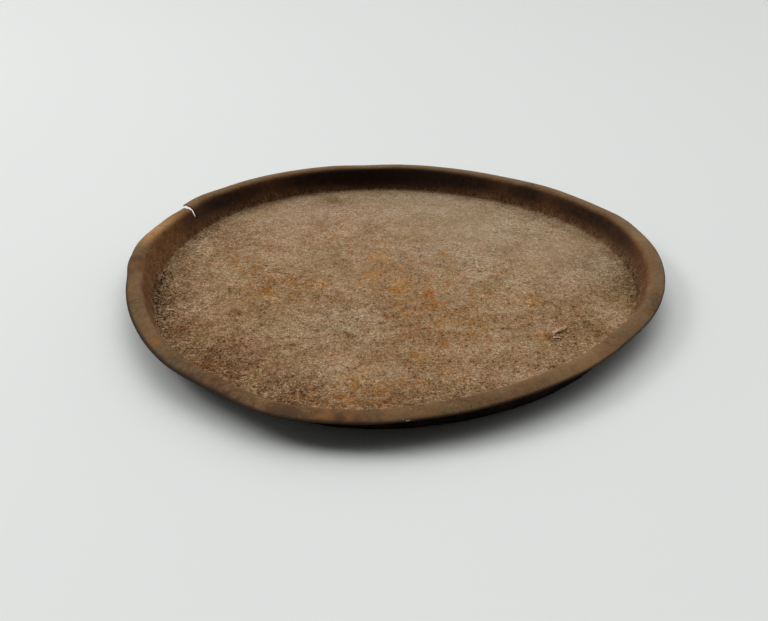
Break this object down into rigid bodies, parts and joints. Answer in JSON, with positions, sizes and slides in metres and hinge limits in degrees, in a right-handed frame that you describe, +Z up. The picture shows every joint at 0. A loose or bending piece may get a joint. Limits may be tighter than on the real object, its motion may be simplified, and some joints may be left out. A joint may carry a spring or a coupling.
{
  "type": "baking pan",
  "caption": "Round, shallow baking pan of rusted sheet iron: a flat floor, a low flared wall and a turned-down lip that has torn through on its rear left.",
  "frame": {"origin": "On the plane the pan rests on, under the middle of its floor.", "axes": "+Z is up, out of the open pan. +X is to the right and +Y to the back, seen from the side the picture was taken from. The tear in the lip is at the rear left."},
  "size_m": [0.3085, 0.3066, 0.0178],
  "materials": {
    "rusted_iron": "old sheet iron, rusted brown all over, matt and finely pitted, with orange spots and darker grit in the corner of the floor"
  },
  "bodies": {
    "root": {"pan": "rusted_iron"}
  },
  "joints": []
}
